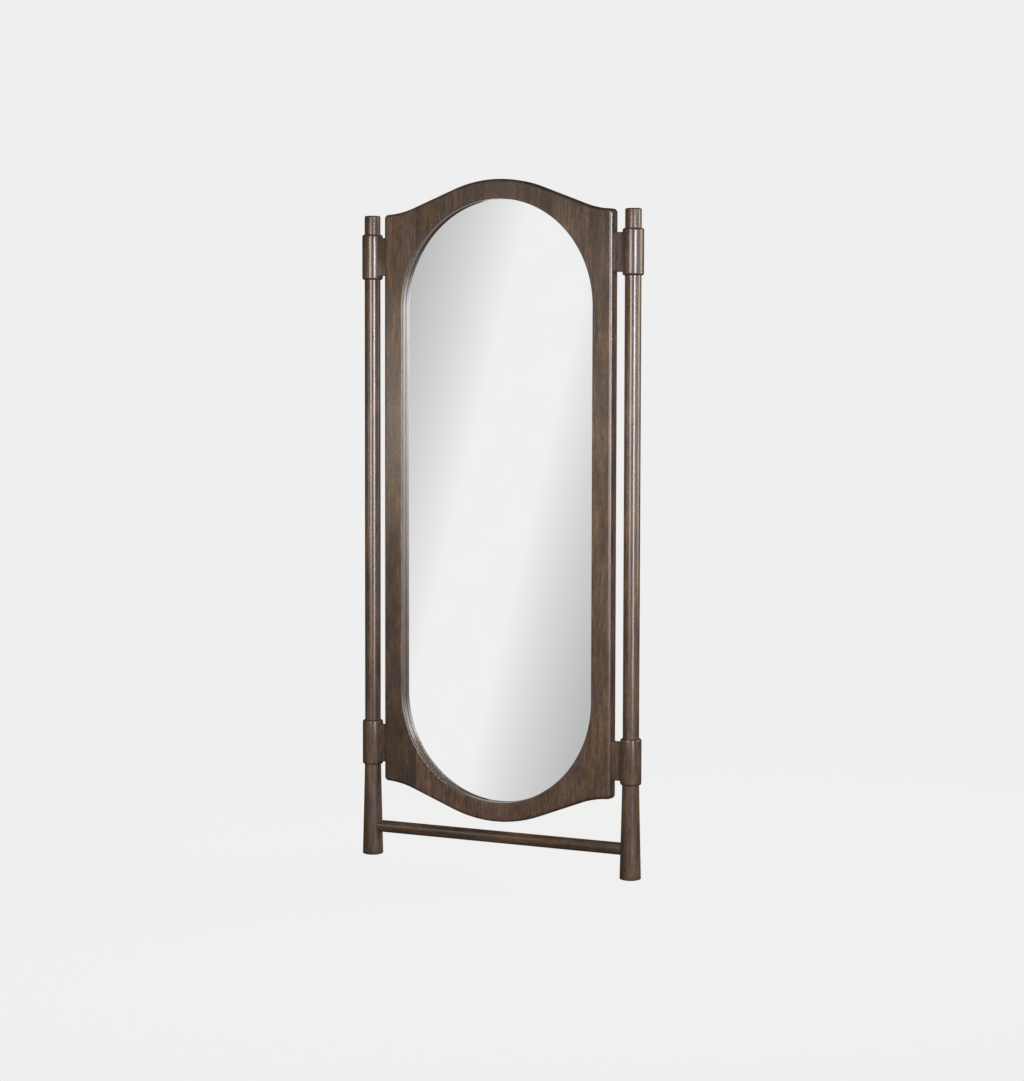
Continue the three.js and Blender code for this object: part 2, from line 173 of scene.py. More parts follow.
def arc(centre, radius, start, end, steps):
    """Points of an arc in a plane, both ends included; angles in radians."""
    angles = [start + (end - start) * i / steps for i in range(steps + 1)]
    return [(centre[0] + radius * math.cos(a), centre[1] + radius * math.sin(a)) for a in angles]


def tube_faces(rows, sides, closed=False):
    """Faces round rows of vertices. Where the rows don't close on themselves, both ends are capped."""
    faces = []
    for row in range(rows if closed else rows - 1):
        here, above = row * sides, ((row + 1) % rows) * sides
        for i in range(sides):
            after = (i + 1) % sides
            faces.append((here + i, here + after, above + after, above + i))
    if not closed:
        faces += [tuple(range(sides)), tuple(range((rows - 1) * sides, rows * sides))]
    return faces


def turned(name, profile, centre=(0, 0, 0), sides=TURNED_SIDES, closed=False, turn=None):
    """A lathe piece from (radius, height) points. A closed profile makes a ring, an open one is capped."""
    angles = [math.tau * i / sides for i in range(sides)]
    place = Matrix.Translation(centre) @ (turn or Matrix.Identity(4))
    verts = [place @ Vector((r * math.cos(a), r * math.sin(a), z)) for r, z in profile for a in angles]
    return make_object(name, verts, tube_faces(len(profile), sides, closed))


def cut(obj, cutters):
    """Takes the cutters out of a piece and removes them."""
    for cutter in cutters:
        modifier = obj.modifiers.new("cut", "BOOLEAN")
        modifier.operation = "DIFFERENCE"
        modifier.solver = "EXACT"
        modifier.object = cutter
    evaluated = obj.evaluated_get(bpy.context.evaluated_depsgraph_get())
    mesh = bpy.data.meshes.new_from_object(evaluated)
    bm = bmesh.new()
    bm.from_mesh(mesh)
    bmesh.ops.remove_doubles(bm, verts=bm.verts, dist=WELD)
    bmesh.ops.dissolve_degenerate(bm, edges=bm.edges, dist=WELD)
    bm.to_mesh(mesh)
    bm.free()
    obj.modifiers.clear()
    obj.data = mesh
    for cutter in cutters:
        bpy.data.objects.remove(cutter)
    mark_creases(obj)
    return obj


def facing(direction):
    """Turns a piece that stands on Z so that its top faces a direction."""
    return UP.rotation_difference(Vector(direction)).to_matrix().to_4x4()


def paint(obj, material):
    obj.data.materials.clear()
    obj.data.materials.append(material)


def finish_piece(obj, material, nodes):
    """Paints a piece, hides the CAD nodes it stands for, and ties it to the body."""
    paint(obj, material)
    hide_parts(*nodes)
    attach(obj, BODY)
    return obj


# ------------------------------------------------------------------ node helpers


class Nodes:
    """A small hand for building a material's nodes."""

    def __init__(self, tree):
        self.tree = tree

    def add(self, kind, settings=None, **inputs):
        node = self.tree.nodes.new(kind)
        for key, value in (settings or {}).items():
            setattr(node, key, value)
        for key, value in inputs.items():
            self.feed(node.inputs[key.replace("_", " ")], value)
        return node

    def feed(self, socket, value):
        if isinstance(value, bpy.types.NodeSocket):
            self.tree.links.new(value, socket)
        else:
            socket.default_value = value

    def math(self, operation, *values):
        node = self.tree.nodes.new("ShaderNodeMath")
        node.operation = operation
        for socket, value in zip(node.inputs, values):
            self.feed(socket, value)
        return node.outputs[0]

    def vector(self, operation, *values):
        node = self.tree.nodes.new("ShaderNodeVectorMath")
        node.operation = operation
        for socket, value in zip(node.inputs, values):
            self.feed(socket, value)
        return node.outputs["Value" if operation == "DOT_PRODUCT" else "Vector"]

    def noise(self, coordinate, scale, detail=3.0, roughness=0.55):
        node = self.add("ShaderNodeTexNoise", Vector=coordinate, Scale=scale, Detail=detail)
        node.inputs["Roughness"].default_value = roughness
        return node.outputs["Fac"]

    def ramp(self, factor, stops):
        node = self.add("ShaderNodeValToRGB", Fac=factor)
        band = node.color_ramp
        while len(band.elements) < len(stops):
            band.elements.new(0.5)
        for element, (position, value) in zip(band.elements, stops):
            element.position = position
            element.color = (*value, 1) if isinstance(value, tuple) else (value, value, value, 1)
        return node.outputs["Color"]

    def remap(self, value, low, high, to_low, to_high):
        node = self.add("ShaderNodeMapRange", Value=value)
        ends = {"From Min": low, "From Max": high, "To Min": to_low, "To Max": to_high}
        for key, number in ends.items():
            node.inputs[key].default_value = number
        return node.outputs["Result"]

    def mix(self, factor, a, b, blend="MIX"):
        node = self.tree.nodes.new("ShaderNodeMix")
        node.data_type = "RGBA"
        node.blend_type = blend
        for name, value in (("Factor_Float", factor), ("A_Color", a), ("B_Color", b)):
            socket = next(s for s in node.inputs if s.identifier == name)
            self.feed(socket, value)
        return next(s for s in node.outputs if s.identifier == "Result_Color")


def new_material(name):
    """A material whose node tree holds its output and a Principled shader: (material, nodes, shader)."""
    material = bpy.data.materials.new(name)
    material.use_nodes = True
    nodes = Nodes(material.node_tree)
    material.node_tree.nodes.clear()
    output = nodes.add("ShaderNodeOutputMaterial")
    shader = nodes.add("ShaderNodeBsdfPrincipled")
    nodes.feed(output.inputs["Surface"], shader.outputs["BSDF"])
    return material, nodes, shader


# ------------------------------------------------------------------ materials

WOOD_DARK = (0.026, 0.0148, 0.0086)
WOOD_MIDDLE = (0.074, 0.0440, 0.0262)
WOOD_LIGHT = (0.158, 0.0990, 0.0590)
WOOD_PORE = (0.016, 0.0090, 0.0060)
WOOD_GOLDEN = (1.10, 1.02, 0.84, 1)
WOOD_PURPLE = (0.90, 0.92, 1.12, 1)
GRAIN_STRETCH = 0.09  # the grain's features are about eleven times as long as they are wide
RING_SCALE = 34.0
RING_WEIGHT = 0.12
PORE_DEPTH = 0.45
# How far faces across the grain go to black: end grain, and painted shade along the crown's top edge.
END_GRAIN_AND_SHADE_DARKNESS = 0.70


def wood_material(name, along="Z"):
    """Dark stained wood under satin lacquer, its grain running along one axis."""
    material, n, shader = new_material(name)
    position = n.add("ShaderNodeTexCoord").outputs["Object"]
    shift = n.add("ShaderNodeAttribute", {"attribute_name": "grain_shift"}).outputs["Vector"]
    tone_and_shade = n.add("ShaderNodeAttribute", {"attribute_name": "tone_and_shade"}).outputs["Fac"]
    normal = n.add("ShaderNodeNewGeometry").outputs["Normal"]
    place = n.vector("ADD", position, shift)
    if along == "X":
        apart = n.add("ShaderNodeSeparateXYZ", Vector=place)
        swapped = n.add(
            "ShaderNodeCombineXYZ", X=apart.outputs["Z"], Y=apart.outputs["Y"], Z=apart.outputs["X"]
        )
        place = swapped.outputs["Vector"]
    bend = n.add("ShaderNodeTexNoise", Vector=place, Scale=2.2, Detail=2.0).outputs["Color"]
    bend = n.vector("MULTIPLY", n.vector("SUBTRACT", bend, (0.5, 0.5, 0.5)), (0.05, 0.05, 0.0))
    bent = n.vector("ADD", place, bend)
    grain = n.vector("MULTIPLY", bent, (1.0, 1.0, GRAIN_STRETCH))

    rings = n.add(
        "ShaderNodeTexWave",
        {"wave_type": "RINGS", "rings_direction": "Z", "wave_profile": "SIN"},
        Vector=grain, Scale=RING_SCALE, Distortion=6.0,
        Detail=4.0, Detail_Scale=1.6, Detail_Roughness=0.65,
    ).outputs["Fac"]
    streaks = n.noise(grain, 250.0, detail=4.0, roughness=0.6)
    bands = n.noise(grain, 80.0, detail=2.0)
    clouds = n.noise(n.vector("MULTIPLY", place, (1.0, 1.0, 0.30)), 26.0, detail=4.0, roughness=0.6)
    flecks = n.noise(n.vector("MULTIPLY", place, (1.0, 1.0, 0.22)), 330.0, detail=1.0)
    pores = n.noise(n.vector("MULTIPLY", place, (1.0, 1.0, 0.06)), 900.0, detail=1.0)
    dashes = n.remap(pores, 0.58, 0.68, 0.0, 1.0)

    figure = n.math("MULTIPLY_ADD", rings, RING_WEIGHT, 0.5 - RING_WEIGHT / 2)
    for layer, weight in ((streaks, 0.62), (bands, 0.42), (clouds, 0.80), (flecks, 0.62)):
        figure = n.math("ADD", figure, n.math("MULTIPLY_ADD", layer, weight, -weight / 2))
    colour = n.ramp(figure, [(0.18, WOOD_DARK), (0.50, WOOD_MIDDLE), (0.86, WOOD_LIGHT)])
    hue = n.noise(n.vector("MULTIPLY", place, (1.0, 1.0, 0.4)), 15.0, detail=3.0)
    tinted = n.mix(n.remap(hue, 0.38, 0.62, 0.0, 1.0), WOOD_GOLDEN, WOOD_PURPLE)
    colour = n.mix(1.0, colour, tinted, "MULTIPLY")
    colour = n.mix(n.math("MULTIPLY", dashes, PORE_DEPTH), colour, (*WOOD_PORE, 1))
    # Faces across the grain go towards black: end grain taking the stain darker, and painted shade along
    # the crown's top edge.
    grain_axis = n.add("ShaderNodeSeparateXYZ", Vector=normal).outputs[along]
    end_grain_and_shade = n.math("POWER", n.math("ABSOLUTE", grain_axis), 2.0)
    colour = n.mix(n.math("MULTIPLY", end_grain_and_shade, END_GRAIN_AND_SHADE_DARKNESS), colour, (0.0, 0.0, 0.0, 1))
    # The tone attribute scales the colour; on the stiles and blocks it carries painted shade.
    toned_and_shaded = n.vector("SCALE", colour)
    n.feed(toned_and_shaded.node.inputs["Scale"], tone_and_shade)

    height = n.math("SUBTRACT", n.math("MULTIPLY", streaks, 0.35), dashes)
    fine = n.add("ShaderNodeBump", Height=height, Strength=0.22, Distance=0.0002)
    ripple = n.noise(n.vector("MULTIPLY", place, (1.0, 1.0, 0.5)), 26.0, detail=1.0)
    bump = n.add("ShaderNodeBump", Height=ripple, Strength=0.2, Distance=0.0005)
    n.feed(bump.inputs["Normal"], fine.outputs["Normal"])

    n.feed(shader.inputs["Base Color"], toned_and_shaded)
    n.feed(shader.inputs["Roughness"], n.remap(streaks, 0.3, 0.7, 0.40, 0.52))
    n.feed(shader.inputs["Normal"], bump.outputs["Normal"])
    shader.inputs["Coat Weight"].default_value = 0.9
    shader.inputs["Coat Roughness"].default_value = 0.12
    shader.inputs["Coat IOR"].default_value = 1.5
    return material


def mirror_material():
    """Silvered glass: a clean reflection with a trace of unevenness in the silvering's brightness."""
    material, n, shader = new_material("silvered_glass")
    position = n.add("ShaderNodeTexCoord").outputs["Object"]
    film = n.noise(position, 9.0, detail=2.0)
    n.feed(
        shader.inputs["Base Color"],
        n.ramp(film, [(0.3, (0.945, 0.955, 0.952)), (0.7, (0.955, 0.962, 0.960))]),
    )
    shader.inputs["Metallic"].default_value = 1.0
    shader.inputs["Roughness"].default_value = 0.012
    return material


def fibreboard_material():
    """Dark hardboard: fine matted fibres, matt, with a faint cloudiness."""
    material, n, shader = new_material("dark_fibreboard")
    position = n.add("ShaderNodeTexCoord").outputs["Object"]
    fibres = n.noise(position, 420.0, detail=4.0, roughness=0.7)
    clouds = n.noise(position, 14.0, detail=3.0)
    mixed = n.math("MULTIPLY_ADD", fibres, 0.6, n.math("MULTIPLY", clouds, 0.4))
    n.feed(
        shader.inputs["Base Color"],
        n.ramp(mixed, [(0.34, (0.018, 0.012, 0.009)), (0.66, (0.062, 0.041, 0.029))]),
    )
    bump = n.add("ShaderNodeBump", Height=fibres, Strength=0.35, Distance=0.0003)
    n.feed(shader.inputs["Normal"], bump.outputs["Normal"])
    shader.inputs["Roughness"].default_value = 0.78
    return material


def steel_material():
    """Zinc-plated steel, lightly brushed, with a faint yellow passivation."""
    material, n, shader = new_material("zinc_plated_steel")
    position = n.add("ShaderNodeTexCoord").outputs["Object"]
    brushed = n.noise(n.vector("MULTIPLY", position, (1.0, 1.0, 0.1)), 2500.0, detail=2.0)
    tint = n.noise(position, 180.0, detail=2.0)
    n.feed(
        shader.inputs["Base Color"],
        n.ramp(tint, [(0.3, (0.60, 0.57, 0.50)), (0.7, (0.72, 0.71, 0.69))]),
    )
    n.feed(shader.inputs["Roughness"], n.remap(brushed, 0.3, 0.7, 0.24, 0.42))
    shader.inputs["Metallic"].default_value = 1.0
    return material


def felt_material():
    """Dark pressed felt."""
    material, n, shader = new_material("dark_felt")
    position = n.add("ShaderNodeTexCoord").outputs["Object"]
    fibres = n.noise(position, 1800.0, detail=4.0, roughness=0.75)
    n.feed(
        shader.inputs["Base Color"],
        n.ramp(fibres, [(0.3, (0.008, 0.007, 0.006)), (0.7, (0.035, 0.029, 0.026))]),
    )
    bump = n.add("ShaderNodeBump", Height=fibres, Strength=0.6, Distance=0.0004)
    n.feed(shader.inputs["Normal"], bump.outputs["Normal"])
    shader.inputs["Roughness"].default_value = 0.95
    shader.inputs["Sheen Weight"].default_value = 0.3
    return material


def beech_material():
    """Plain beech, for the dowels hidden in the panel's seams."""
    material, n, shader = new_material("beech")
    position = n.add("ShaderNodeTexCoord").outputs["Object"]
    flecks = n.noise(n.vector("MULTIPLY", position, (0.1, 1.0, 1.0)), 900.0, detail=3.0)
    n.feed(
        shader.inputs["Base Color"],
        n.ramp(flecks, [(0.35, (0.42, 0.28, 0.16)), (0.65, (0.60, 0.43, 0.27))]),
    )
    shader.inputs["Roughness"].default_value = 0.6
    return material


UPRIGHT_WOOD = wood_material("stained_wood_upright")
LEVEL_WOOD = wood_material("stained_wood_level", along="X")
MIRROR = mirror_material()
FIBREBOARD = fibreboard_material()
STEEL = steel_material()
FELT = felt_material()
BEECH = beech_material()

# How light each piece of wood is beside the others; a piece that isn't named is 1. A stile's
# colour changes along it, and is given at heights from the floor: this is painted shade, darker
# towards the floor on both stiles and towards the top on the right one. The blocks' lower numbers
# are painted shade too, for the shade between the collars and the panel.
STILE_SHADE_BY_HEIGHT = {
    "left_stile": [(0.25, 0.58), (0.33, 0.72), (0.45, 0.90), (0.60, 0.93), (0.85, 1.04), (1.70, 1.02)],
    "right_stile": [
        (0.25, 0.74), (0.50, 0.80), (0.85, 0.88), (1.10, 0.80), (1.45, 0.88), (1.60, 0.80), (1.72, 0.66),
    ],
}
TONES_AND_SHADE = {
    "top_stave_1": 0.86,
    "top_stave_2": 0.80,
    "top_stave_3": 0.82,
    "top_stave_4": 0.76,
    "top_stave_5": 1.00,
    "bottom_stave_1": 1.16,
    "bottom_stave_2": 1.00,
    "bottom_stave_3": 1.16,
    "bottom_stave_4": 1.02,
    "bottom_stave_5": 0.92,
    "stretcher": 0.95,
    # Painted shade: the blocks are darker, for the shade between the collars and the panel.
    "upper_left_block": 0.70,
    "upper_right_block": 0.78,
    "lower_left_block": 0.80,
}


def tone_and_shade_of(node, height):
    """The tone of a piece at a height, with painted shade on the stiles and the blocks."""
    if node not in STILE_SHADE_BY_HEIGHT:
        return TONES_AND_SHADE.get(node, 1.0)
    knots = STILE_SHADE_BY_HEIGHT[node]
    if height <= knots[0][0]:
        return knots[0][1]
    for (z0, shade0), (z1, shade1) in zip(knots, knots[1:]):
        if height <= z1:
            return shade0 + (shade1 - shade0) * (height - z0) / (z1 - z0)
    return knots[-1][1]


def finish_wood(obj, node, material=UPRIGHT_WOOD):
    """Gives the wooden piece for a node its own stretch of grain and its own tone, which on the stiles and
    blocks holds painted shade.
    """
    order = sorted(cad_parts).index(node)
    shift = Vector((0.37 * math.sin(3.1 * order), 0.11 + 0.05 * math.cos(2.3 * order), 1.7 * order))
    mesh = obj.data
    grain_shift = mesh.attributes.new("grain_shift", "FLOAT_VECTOR", "POINT")
    grain_shift.data.foreach_set("vector", [*shift] * len(mesh.vertices))
    # Painted shade: on the stiles each vertex's tone follows its height, darker towards the floor.
    tone_and_shade = mesh.attributes.new("tone_and_shade", "FLOAT", "POINT")
    tone_and_shade.data.foreach_set("value", [tone_and_shade_of(node, vertex.co.z) for vertex in mesh.vertices])
    return finish_piece(obj, material, [node])


# ------------------------------------------------------------------ stand


def leg_radius(height, leg_top):
    return LEG_TOP_RADIUS + (FOOT_RADIUS - LEG_TOP_RADIUS) * (1 - height / leg_top) ** LEG_FLARE_POWER


def make_post(side):
    """A turned post: flared leg, small shoulder under the lower collar, plain shaft, eased top."""
    node = f"{side}_post"
    axis_x = middle(f"{side}_foot_pad").x
    bottom, top = span(node, 2)
    leg_top = span(f"lower_{side}_collar", 2)[0] - FIT_GAP
    pad_top = span(f"{side}_foot_pad", 2)[1]
    pad_radius = (span(f"{side}_foot_pad", 0)[1] - axis_x) + FIT_GAP
    foot_edge = bottom + FOOT_ROUND
    foot = arc((leg_radius(foot_edge, leg_top) - FOOT_ROUND, foot_edge), FOOT_ROUND, -math.pi / 2, 0, 6)
    leg = [foot_edge + (leg_top - foot_edge) * i / LEG_STEPS for i in range(1, LEG_STEPS + 1)]
    head = arc((POST_RADIUS - POST_TOP_ROUND, top - POST_TOP_ROUND), POST_TOP_ROUND, 0, math.pi / 2, 8)
    profile = [
        (pad_radius, pad_top + FIT_GAP),
        (pad_radius, bottom),
        *foot,
        *[(leg_radius(z, leg_top), z) for z in leg],
        (POST_RADIUS, leg_top + LEG_SHOULDER),
        *head,
    ]
    post = turned(node, profile, (axis_x, 0, 0))
    low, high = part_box("stretcher")
    rod_radius = (high.z - low.z) / 2
    half_length = high.x + FIT_GAP
    ends = [(rod_radius + FIT_GAP, -half_length), (rod_radius + FIT_GAP, half_length)]
    socket = turned("socket", ends, (0, 0, (low.z + high.z) / 2), turn=facing((1, 0, 0)))
    return finish_wood(cut(post, [socket]), node)


def make_collar(level, side):
    """A turned collar with well rounded ends and a countersunk hole at its back."""
    node = f"{level}_{side}_collar"
    low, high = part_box(node)
    centre = Vector((middle(f"{side}_foot_pad").x, 0, (low.z + high.z) / 2))
    radius = (high.y - low.y) / 2
    half = (high.z - low.z) / 2
    bore = POST_RADIUS + COLLAR_BORE_GAP
    edge = radius - COLLAR_ROUND
    lip = COLLAR_LIP_ROUND
    profile = [
        *arc((bore + lip, lip - half), lip, math.pi, 1.5 * math.pi, 3),
        *arc((edge, COLLAR_ROUND - half), COLLAR_ROUND, -math.pi / 2, 0, 10),
        *arc((edge, half - COLLAR_ROUND), COLLAR_ROUND, 0, math.pi / 2, 10),
        *arc((bore + lip, half - lip), lip, math.pi / 2, math.pi, 3),
    ]
    collar = turned(node, profile, centre, closed=True)
    screw = f"{level}_{side}_collar_screw"
    return finish_wood(cut(collar, [countersink(screw)]), node)


def make_block(level, side):
    """A block between a collar and the panel's side. The corners of its outer end lie on the collar's
    surface, and the flat between them reaches about 1 mm into the collar."""
    node = f"{level}_{side}_block"
    sign = SIDES[side]
    low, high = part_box(node)
    axis_x = middle(f"{side}_foot_pad").x
    collar_front, collar_back = span(f"{level}_{side}_collar", 1)
    collar_radius = (collar_back - collar_front) / 2
    r = BLOCK_CORNER_ROUND
    back = arc((high.y - r, high.z - r), r, 0, math.pi / 2, 5)
    front = arc((low.y + r, high.z - r), r, math.pi / 2, math.pi, 5)
    top = back + front
    section = top + [(y, low.z + high.z - z) for y, z in reversed(top)]
    count = len(section)
    near = [(sign * HALF_WIDTH, y, z) for y, z in section]
    far = [(axis_x - sign * math.sqrt(collar_radius**2 - y**2), y, z) for y, z in section]
    *sides, near_end, _ = tube_faces(2, count)
    far_end = [
        (count + i, count + i + 1, 2 * count - 2 - i, 2 * count - 1 - i) for i in range(count // 2 - 1)
    ]
    return finish_wood(make_object(node, near + far, [*sides, near_end, *far_end]), node)


def make_stretcher():
    """The round rail between the legs."""
    low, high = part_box("stretcher")
    radius = (high.z - low.z) / 2
    start = low.x + STRETCHER_CHAMFER
    length = high.x - low.x - 2 * STRETCHER_CHAMFER
    body = [(radius, start + length * i / STRETCHER_STEPS) for i in range(STRETCHER_STEPS + 1)]
    end_radius = radius - STRETCHER_CHAMFER
    profile = [(end_radius, low.x), *body, (end_radius, high.x)]
    rail = turned("stretcher", profile, (0, 0, (low.z + high.z) / 2), turn=facing((1, 0, 0)))
    return finish_wood(rail, "stretcher", LEVEL_WOOD)


def make_pad(side):
    """A felt pad let into a foot."""
    node = f"{side}_foot_pad"
    low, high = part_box(node)
    edge = (high.x - low.x) / 2 - PAD_EASE
    profile = [
        *arc((edge, low.z + PAD_EASE), PAD_EASE, -math.pi / 2, 0, 3),
        *arc((edge, high.z - PAD_EASE), PAD_EASE, 0, math.pi / 2, 3),
    ]
    return finish_piece(turned(node, profile, (middle(node).x, 0, 0)), FELT, [node])


# ------------------------------------------------------------------ screws


def head_of(node):
    """Centre of a screw's head face, its radius and depth, for a screw whose head faces +Y."""
    low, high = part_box(node)
    radius = (high.x - low.x) / 2
    face = Vector(((low.x + high.x) / 2, high.y, (low.z + high.z) / 2))
    return face, radius, SCREW_HEAD_DEPTH_SHARE * radius


def countersink(node):
    """The cutter for one countersunk hole. The screw's head bites about 0.3 mm into the hole's wall."""
    face, radius, depth = head_of(node)
    mouth = radius + SCREW_HOLE_GAP
    throat = SCREW_SHANK_SHARE * radius + SCREW_HOLE_GAP
    profile = [(throat, -3 * depth), (throat, -depth), (mouth, 0), (mouth, 0.01)]
    return turned("countersink", profile, face, sides=SCREW_SIDES, turn=facing((0, 1, 0)))


def make_screw(node):
    """A countersunk screw with a slightly domed head and a cross recess."""
    face, radius, depth = head_of(node)
    tip, head = span(node, 1)
    length = head - tip
    shank = SCREW_SHANK_SHARE * radius
    profile = [
        (SCREW_POINT_SHARE * shank, -length),
        (shank, 2.5 * shank - length),
        (shank, -depth),
        (radius, -1.6 * SCREW_CROWN),
        *[(radius * k, -SCREW_CROWN * k * k) for k in (0.97, 0.75, 0.5, 0.25, 0.08)],
    ]
    screw = turned(node, profile, face, sides=SCREW_SIDES, turn=facing((0, 1, 0)))
    arm = SCREW_DRIVE_SHARE * radius
    wide = SCREW_DRIVE_WIDTH / 2
    cross = [
        (-arm, -wide), (-wide, -wide), (-wide, -arm), (wide, -arm), (wide, -wide), (arm, -wide),
        (arm, wide), (wide, wide), (wide, arm), (-wide, arm), (-wide, wide), (-arm, wide),
    ]
    depths = (face.y - SCREW_DRIVE_DEPTH, face.y + SCREW_DRIVE_DEPTH)
    verts = [(face.x + x, y, face.z + z) for y in depths for x, z in cross]
    recess = make_object("recess", verts, tube_faces(2, len(cross)))
    return finish_piece(cut(screw, [recess]), STEEL, [node])


# ------------------------------------------------------------------ panel


def ogee_edge():
    """The panel's top edge from left to right, as (x, rise, outward normal x, outward normal z)."""

    def stretch(centre, radius, start, end, sign):
        fewest = CORNER_STEPS if radius <= CORNER_RADIUS else 2
        steps = max(fewest, round(abs(end - start) * radius / CURVE_STEP))
        points = []
        for i in range(steps + 1):
            a = start + (end - start) * i / steps
            normal = (sign * math.cos(a), sign * math.sin(a))
            points.append((centre[0] + radius * math.cos(a), centre[1] + radius * math.sin(a), *normal))
        return points

    up = math.pi / 2
    crown = stretch((0, CROWN_RISE - CROWN_RADIUS), CROWN_RADIUS, up, up - OGEE_ANGLE, 1)
    start_x, start_rise, *slope_normal = crown[-1]
    straight = HALF_WIDTH - SHOULDER_RADIUS * math.sin(OGEE_ANGLE) - start_x
    end_rise = start_rise - straight * math.tan(OGEE_ANGLE)
    steps = round(straight / CURVE_STEP)
    slope = []
    for i in range(1, steps):
        rise = start_rise + (end_rise - start_rise) * i / steps
        slope.append((start_x + straight * i / steps, rise, *slope_normal))
    hollow_rise = end_rise + SHOULDER_RADIUS * math.cos(OGEE_ANGLE)
    reach = SHOULDER_RADIUS + CORNER_RADIUS
    corner_rise = hollow_rise - math.sqrt(reach**2 - CORNER_RADIUS**2)
    meet = math.atan2(hollow_rise - corner_rise, CORNER_RADIUS)
    hollow_start = 1.5 * math.pi - OGEE_ANGLE
    hollow = stretch((HALF_WIDTH, hollow_rise), SHOULDER_RADIUS, hollow_start, math.pi + meet, -1)
    corner = stretch((HALF_WIDTH - CORNER_RADIUS, corner_rise), CORNER_RADIUS, meet, 0, 1)
    right = crown + slope + hollow + corner[1:]
    left = [(-x, rise, -nx, nz) for x, rise, nx, nz in reversed(right[1:])]
    return left + right


TOP_EDGE = ogee_edge()


def rise_at(points, x):
    """Height of a run of (x, rise) points where it passes x."""
    for (x0, rise0), (x1, rise1) in zip(points, points[1:]):
        if x0 <= x <= x1 and x1 > x0:
            return rise0 + (rise1 - rise0) * (x - x0) / (x1 - x0)
    raise ValueError(f"the edge doesn't reach x = {x}")


def outer_run(inset, x0, x1):
    """The top edge from x0 to x1, moved in by an inset. An x1 at the panel's side takes in its corner."""
    to_side = x1 >= HALF_WIDTH
    moved = [(x - inset * nx, rise - inset * nz) for x, rise, nx, nz in TOP_EDGE]
    between = [
        point for point, (x, *_) in zip(moved, TOP_EDGE) if x0 + CLIP < x and (to_side or x < x1 - CLIP)
    ]
    end = [] if to_side else [(x1, rise_at(moved, x1))]
    return [(x0, rise_at(moved, x0)), *between, *end]


def inner_run(radius, x0, x1):
    """The opening's upper half circle from x0 to x1, at a radius. It stops at its own side."""

    def angle_at(x, circle):
        return math.asin(min(1.0, x / circle))

    start = angle_at(x0, radius)
    end = angle_at(x1, radius)
    turn = angle_at(x1, OPENING_RADIUS) - angle_at(x0, OPENING_RADIUS)
    steps = max(6, round(turn * OPENING_STEPS))
    angles = [start + (end - start) * i / steps for i in range(steps + 1)]
    return [(radius * math.sin(a), ARC_RISE + radius * math.cos(a)) for a in angles]


def down_side(run):
    """Carries a run down the panel's straight side and along the same curve turned over."""
    x, rise = run[-1]
    steps = round(2 * rise / SIDE_STEP)
    side = [(x, rise - 2 * rise * i / steps) for i in range(1, steps)]
    return run + side + [(px, -prise) for px, prise in reversed(run)]


def panel_layers():
    """(depth from the front face, inset of the outline, growth of the opening), from front to back."""

    def inset(depth, radius):
        return radius - math.sqrt(max(0.0, radius**2 - (radius - depth) ** 2)) if depth < radius else 0.0

    angles = [i / ROUND_STEPS * math.pi / 2 for i in range(ROUND_STEPS + 1)]
    edge_depths = [EDGE_ROUND * (1 - math.cos(a)) for a in angles]
    opening_depths = [OPENING_ROUND * (1 - math.cos(a)) for a in angles]
    front = sorted({round(d, 7) for d in edge_depths + opening_depths})
    layers = [(d, inset(d, EDGE_ROUND), inset(d, OPENING_ROUND)) for d in front]
    layers += [
        (LIP_DEPTH, 0.0, 0.0),
        (LIP_DEPTH, 0.0, GLASS_LEDGE),
        (BOARD_SEAT_DEPTH, 0.0, GLASS_LEDGE),
        (BOARD_SEAT_DEPTH, 0.0, BOARD_LEDGE),
    ]
    for depth in reversed(edge_depths):
        grown = BOARD_LEDGE + inset(depth, REBATE_EDGE)
        layers.append((PANEL_DEPTH - depth, inset(depth, EDGE_ROUND), grown))
    return layers


def make_board(node, outline, opening, flip):
    """A board of the panel. outline(inset) and opening(radius) give its edges, and flip turns it over."""
    sign_x, sign_z = flip
    verts, rings = [], []
    for depth, inset, grown in panel_layers():
        ring = []
        for run in (outline(inset), opening(OPENING_RADIUS + grown)):
            start = len(verts)
            verts += [(sign_x * x, FRONT_Y + depth, MIDDLE_Z + sign_z * rise) for x, rise in run]
            ring.append(list(range(start, len(verts))))
        rings.append(ring)
    faces = []
    for here, behind in zip(rings, rings[1:]):
        for near, far in zip(here, behind):
            faces += [(near[i], near[i + 1], far[i + 1], far[i]) for i in range(len(near) - 1)]
    for outer, inner in (rings[0], rings[-1]):
        faces.append((*outer, *reversed(inner)))
    for end in (0, -1):
        outer_ends = [outer[end] for outer, _ in rings]
        inner_ends = [inner[end] for _, inner in rings]
        faces.append((*outer_ends, *reversed(inner_ends)))
    return finish_wood(make_object(node, verts, faces), node)


def make_stave(node):
    """A stave of the upper or lower arch, between two seams."""
    low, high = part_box(node)
    x0 = low.x - SEAM_GAP
    x1 = high.x + SEAM_GAP
    flip = (1, 1 if low.z > MIDDLE_Z else -1)
    return make_board(
        node,
        lambda inset: outer_run(inset, x0, x1),
        lambda radius: inner_run(radius, x0, x1),
        flip,
    )


def make_stile(side):
    """A full-height board, worked out as the right one and turned over for the left."""
    node = f"{side}_stile"
    seam = min(abs(x) for x in span(node, 0)) - SEAM_GAP
    return make_board(
        node,
        lambda inset: down_side(outer_run(inset, seam, HALF_WIDTH)),
        lambda radius: down_side(inner_run(radius, seam, radius)),
        (SIDES[side], 1),
    )


